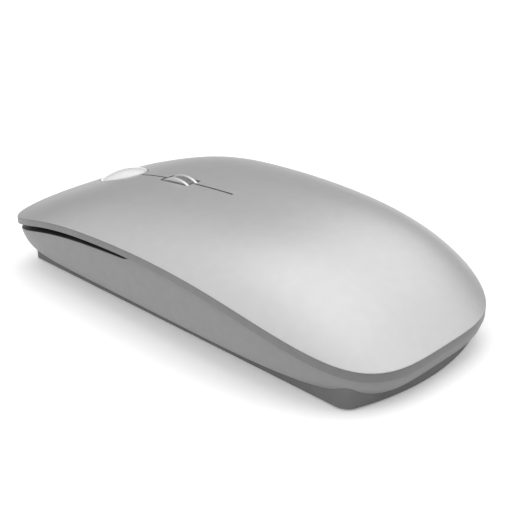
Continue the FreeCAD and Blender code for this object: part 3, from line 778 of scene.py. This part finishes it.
def buildWheel():
    centre = (0, wheel["y"], wheel["z"])
    segments = wheel["teeth"] * 8
    tyre = roundedRect(-wheel["tyreHalf"], wheel["tyreHalf"], wheel["hub"], wheel["radius"] - 0.25, 0.2)
    marked = [i for i, (x, r) in enumerate(tyre) if r > wheel["radius"] - 0.75]

    def toothShape(a):
        wave = math.cos(a * wheel["teeth"])
        return min(max(0.5 - wave * 1.4, 0), 1)

    bite = {"points": marked, "depth": wheel["toothDepth"], "shape": toothShape}
    tyrePiece = latheX("wheelTyre", tyre, segments, materials["tyreRubber"], centre, bite)
    placePiece(tyrePiece, "scroll_wheel", "rubber_black", "wheel_tyre")
    rims = []
    for side in (-1, 1):
        a, b = sorted((side * wheel["tyreHalf"], side * wheel["half"]))
        profile = roundedRect(a, b, wheel["hub"], wheel["radius"], 0.22)
        rims.append(latheX("rimHalf", profile, 160, materials["brightRim"], centre))
    bpy.ops.object.select_all(action="DESELECT")
    for rim in rims:
        rim.select_set(True)
    bpy.context.view_layer.objects.active = rims[0]
    bpy.ops.object.join()
    rims[0].name = "wheelRims"
    placePiece(rims[0], "scroll_wheel", "bright_rim", "wheel_rims")


buildWheel()
print("scroll wheel")

# nose window
window = {"y": 43.8, "long": 6.2, "wide": 5.7, "rise": 1.7,
          "pipeY": 41.5, "pipeRadius": 2.2, "pipeFoot": 7.3}


def buildWindow():
    points = []
    faces = []
    around = 96
    rings = []
    inward = [0.0, 0.12, 0.24, 0.36, 0.48, 0.59, 0.69, 0.78, 0.85, 0.905, 0.945, 0.972, 0.99, 1.0]
    for rho in inward[1:]:
        ring = []
        for k in range(around):
            a = 2 * math.pi * k / around
            x = window["wide"] * rho * math.cos(a)
            y = window["y"] + window["long"] * rho * math.sin(a)
            swell = window["rise"] * (1 - rho * rho) ** 0.72
            ring.append(len(points))
            points.append((x, y, topZ(x, y) + swell - 0.05 * rho))
        rings.append(ring)
    for depth in (0.15, 1.5, 3.0):
        ring = []
        for k in range(around):
            a = 2 * math.pi * k / around
            x = window["wide"] * math.cos(a)
            y = window["y"] + window["long"] * math.sin(a)
            ring.append(len(points))
            points.append((x, y, topZ(x, y) - depth))
        rings.append(ring)
    for first, second in zip(rings, rings[1:]):
        joinLoops(faces, first, second)
    tip = len(points)
    points.append((0, window["y"], topZ(0, window["y"]) + window["rise"]))
    for k in range(around):
        faces.append((tip, rings[0][k], rings[0][(k + 1) % around]))
    faces.append(tuple(rings[-1]))
    addShape(points, faces, roundPost(0, window["pipeY"], window["pipeRadius"], window["pipeFoot"],
                                      lambda x, y: topZ(x, y) - 2.5, 24, closedTop=False))
    piece = buildMesh("noseWindow", points, faces, materials["milkyWindow"], sharpDegrees=50)
    return placePiece(piece, "case", "white_window", "nose_window")


buildWindow()
print("nose window")

# glide pads
pads = {
    "front_left_foot": (-10.5, 47.6, 15.0, 4.0), "front_right_foot": (10.5, 47.6, 15.0, 4.0),
    "rear_left_foot": (-11.0, -46.8, 12.0, 2.9), "rear_right_foot": (11.0, -46.8, 12.0, 2.9),
}


def buildPad(node, place):
    x0, y0, length, width = place
    radius = width / 2
    outline = []
    for k in range(17):
        a = -math.pi / 2 + math.pi * k / 16
        outline.append((x0 + length / 2 - radius, y0, math.cos(a), math.sin(a)))
    for k in range(17):
        a = math.pi / 2 + math.pi * k / 16
        outline.append((x0 - length / 2 + radius, y0, math.cos(a), math.sin(a)))
    points = []
    faces = []
    rings = []
    for inset, z in ((0, 0.8), (0, 0.25), (0.04, 0.12), (0.12, 0.04), (0.25, 0.0), (0.7, 0.0)):
        ring = []
        for cx, cy, dx, dy in outline:
            ring.append(len(points))
            points.append((cx + (radius - inset) * dx, cy + (radius - inset) * dy, z))
        rings.append(ring)
    for first, second in zip(rings, rings[1:]):
        joinLoops(faces, first, second)
    faces.append(tuple(rings[0]))
    faces.append(tuple(rings[-1]))
    name = "glide" + "".join(part.capitalize() for part in node.split("_")[:2])
    piece = buildMesh(name, points, faces, materials["glidePad"], sharpDegrees=50)
    return placePiece(piece, "case", "glide_pad", node)


for node, place in pads.items():
    buildPad(node, place)
print("glide pads")

# battery cells
cells = {
    "left_battery": {"x": -5.5, "z": 7.65, "back": -41.2, "front": 3.3, "nubAhead": True},
    "right_battery": {"x": 5.5, "z": 7.65, "back": -42.4, "front": 2.1, "nubAhead": False},
}


def buildCell(node, place):
    # can with rolled ends, a raised contact and a flat one
    radius = 5.2
    length = place["front"] - place["back"]
    half = length / 2
    profile = [(0, -half), (4.3, -half), (4.6, -half + 0.25), (4.9, -half + 0.1), (5.1, -half + 0.25),
               (radius, -half + 0.6), (radius, half - 1.7), (5.1, half - 1.35), (4.8, half - 1.2),
               (4.4, half - 1.3), (2.6, half - 1.15), (1.95, half - 1.0), (1.9, half - 0.25),
               (1.7, half), (0, half)]
    points = []
    faces = []
    segments = 48
    rings = []
    for r, y in profile[1:-1]:
        ring = []
        for s in range(segments):
            a = 2 * math.pi * s / segments
            ring.append(len(points))
            points.append((r * math.cos(a), y, r * math.sin(a)))
        rings.append(ring)
    for first, second in zip(rings, rings[1:]):
        joinLoops(faces, first, second)
    faces.append(tuple(rings[0]))
    faces.append(tuple(rings[-1]))
    name = "cellLeft" if place["nubAhead"] else "cellRight"
    piece = buildMesh(name, points, faces, materials["cellJacket"], sharpDegrees=40)
    if not place["nubAhead"]:
        piece.rotation_euler = (0, 0, math.pi)
    piece.location = (place["x"] * mm, (place["front"] + place["back"]) / 2 * mm, place["z"] * mm)
    return placePiece(piece, "case", "cell_jacket", node)


for node, place in cells.items():
    buildCell(node, place)
print("battery cells")

# finishes on the carried-over pieces
nodeFinishes = {
    "baseDark": ["base_plate", "battery_door"],
    "boardGreen": ["circuit_board"],
    "epoxyBlack": ["sensor_chip", "control_chip", "radio_chip"],
    "lensClear": ["sensor_lens"],
    "ledClear": ["status_led", "sensor_led"],
    "blackMouldedAndGapShade": ["left_switch_body", "right_switch_body", "wheel_switch", "power_switch_body",
                     "receiver_cap"],
    "plungerWhite": ["left_switch_plunger", "right_switch_plunger", "wheel_switch_plunger"],
    "encoderGrey": ["encoder_housing"],
    "innerPlastic": ["wheel_post", "axle_bush", "wheel_hub", "battery_tray", "power_knob", "receiver_sleeve"],
    "drawnSteel": ["wheel_axle"],
    "canMetal": ["crystal"],
    "sleeveBlue": ["capacitor"],
    "contactNickel": ["battery_springs", "battery_plates"],
    "wireRed": ["positive_lead"],
    "wireBlack": ["negative_lead"],
    "plugSteel": ["receiver_plug"],
    "screwZinc": ["case_screws", "board_screws"],
}
for finish, nodes in nodeFinishes.items():
    for node in nodes:
        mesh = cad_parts[node].data
        mesh.materials.clear()
        mesh.materials.append(materials[finish])
print("finishes on", sum(len(n) for n in nodeFinishes.values()), "carried-over pieces")

# studio
studio = {
    "floor": 9.0, "floorTone": 0.92, "floorGlow": 0.2,     # a lit table top, so the shadow stays faint
    "low": 0.18, "high": 0.82,     # the surround's brightness near the horizon and overhead
    "climbFrom": 0.1, "climbTo": 0.82,     # heights in the sky between which it brightens
    "softbox": {"size": 1.3, "power": 2.2, "place": (0.58, -0.12, 0.8), "aim": (0, -0.02, 0)},
    # the fills light the desk and the matt parts, without a reflection of their own
    "leftFill": {"size": 0.6, "power": 2.1, "place": (-0.7, 0.15, 0.3), "aim": (0, 0, 0.01),
                 "mirrored": False},
    "topFill": {"size": 0.6, "power": 2.2, "place": (0.0, 0.0, 0.9), "aim": (0, 0, 0), "mirrored": False},
}
view = {
    "azimuth": -46.746, "elevation": 25.262, "roll": 0.807, "distance": 0.23311,
    "aim": (0, 0, 0.00988), "lens": 72.17, "shiftX": 0.01092, "shiftY": -0.00092,
}


def buildFloor():
    size = studio["floor"]
    mesh = bpy.data.meshes.new("deskFloor")
    corners = [(-size, -size, 0), (size, -size, 0), (size, size, 0), (-size, size, 0)]
    mesh.from_pydata(corners, [], [(0, 1, 2, 3)])
    floor = bpy.data.objects.new("deskFloor", mesh)
    bpy.context.scene.collection.objects.link(floor)
    material, nodes, links, shader = nodeSetup("paleDesk")
    shader.inputs["Base Color"].default_value = (*tone(studio["floorTone"]), 1)
    shader.inputs["Emission Color"].default_value = (1, 1, 1, 1)
    shader.inputs["Emission Strength"].default_value = studio["floorGlow"]
    shader.inputs["Roughness"].default_value = 0.7
    shader.inputs["Specular IOR Level"].default_value = 0.2
    mesh.materials.append(material)


def addLamp(name, lamp):
    data = bpy.data.lights.new(name, "AREA")
    data.shape = "SQUARE"
    data.size = lamp["size"]
    data.energy = lamp["power"]
    light = bpy.data.objects.new(name, data)
    light.visible_glossy = lamp.get("mirrored", True)
    light.location = lamp["place"]
    way = Vector(lamp["aim"]) - Vector(lamp["place"])
    light.rotation_euler = way.to_track_quat("-Z", "Y").to_euler()
    bpy.context.scene.collection.objects.link(light)


def addCamera():
    azimuth = math.radians(view["azimuth"])
    elevation = math.radians(view["elevation"])
    roll = math.radians(view["roll"])
    back = Vector((math.sin(azimuth) * math.cos(elevation), -math.cos(azimuth) * math.cos(elevation),
                   math.sin(elevation)))
    level = Vector((math.cos(azimuth), math.sin(azimuth), 0))
    upright = back.cross(level)
    right = level * math.cos(roll) + upright * math.sin(roll)
    up = upright * math.cos(roll) - level * math.sin(roll)
    data = bpy.data.cameras.new("studioCamera")
    data.lens = view["lens"]
    data.shift_x = view["shiftX"]
    data.shift_y = view["shiftY"]
    data.clip_start = 0.01
    camera = bpy.data.objects.new("studioCamera", data)
    turn = Matrix((right, up, back)).transposed()
    camera.matrix_world = Matrix.Translation(Vector(view["aim"]) + back * view["distance"]) @ turn.to_4x4()
    bpy.context.scene.collection.objects.link(camera)
    bpy.context.scene.camera = camera


def addSurround():
    # pale room: dimmer toward the horizon, brighter overhead
    world = bpy.data.worlds.new("studioWorld")
    world.use_nodes = True
    nodes = world.node_tree.nodes
    links = world.node_tree.links
    place = nodes.new("ShaderNodeTexCoord")
    split = nodes.new("ShaderNodeSeparateXYZ")
    climb = nodes.new("ShaderNodeMapRange")
    climb.interpolation_type = "SMOOTHSTEP"
    climb.inputs["From Min"].default_value = studio["climbFrom"]
    climb.inputs["From Max"].default_value = studio["climbTo"]
    climb.inputs["To Min"].default_value = studio["low"]
    climb.inputs["To Max"].default_value = studio["high"]
    links.new(place.outputs["Generated"], split.inputs["Vector"])
    links.new(split.outputs["Z"], climb.inputs["Value"])
    links.new(climb.outputs["Result"], nodes["Background"].inputs["Strength"])
    nodes["Background"].inputs["Color"].default_value = (1, 1, 1, 1)
    bpy.context.scene.world = world


buildFloor()
for lampName in ("softbox", "leftFill", "topFill"):
    addLamp(lampName, studio[lampName])
addCamera()
addSurround()
bpy.context.scene.view_settings.view_transform = "Standard"
print("studio")
